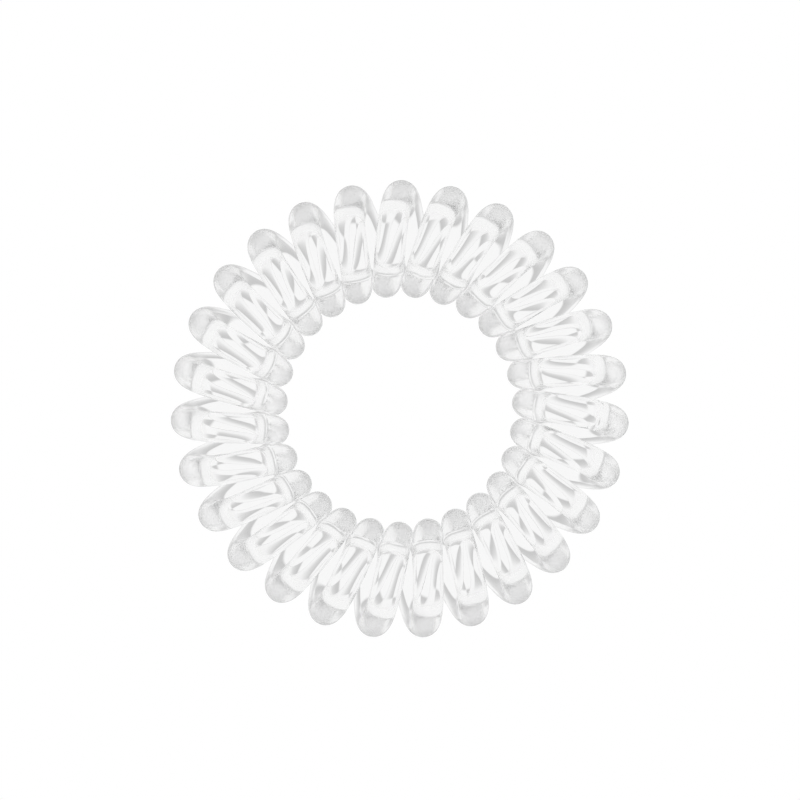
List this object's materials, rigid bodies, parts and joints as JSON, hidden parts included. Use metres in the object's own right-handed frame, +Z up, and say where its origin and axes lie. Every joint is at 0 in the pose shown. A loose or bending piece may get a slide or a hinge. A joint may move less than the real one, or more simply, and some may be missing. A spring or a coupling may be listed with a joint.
{
  "type": "spiral hair tie",
  "caption": "Clear plastic strand wound into a springy coil and closed into a ring that holds a ponytail or bun.",
  "frame": {"origin": "centre of the ring, on the plane that the turns rest on", "axes": "+Z up along the ring's own axis; +X to the right and +Y to the top of the picture"},
  "size_m": [0.04, 0.0399, 0.0094],
  "materials": {
    "clear_plastic": "clear and colourless, glossy, softly uneven extruded surface"
  },
  "bodies": {
    "root": {"spiral_strand": "clear_plastic"}
  },
  "joints": []
}
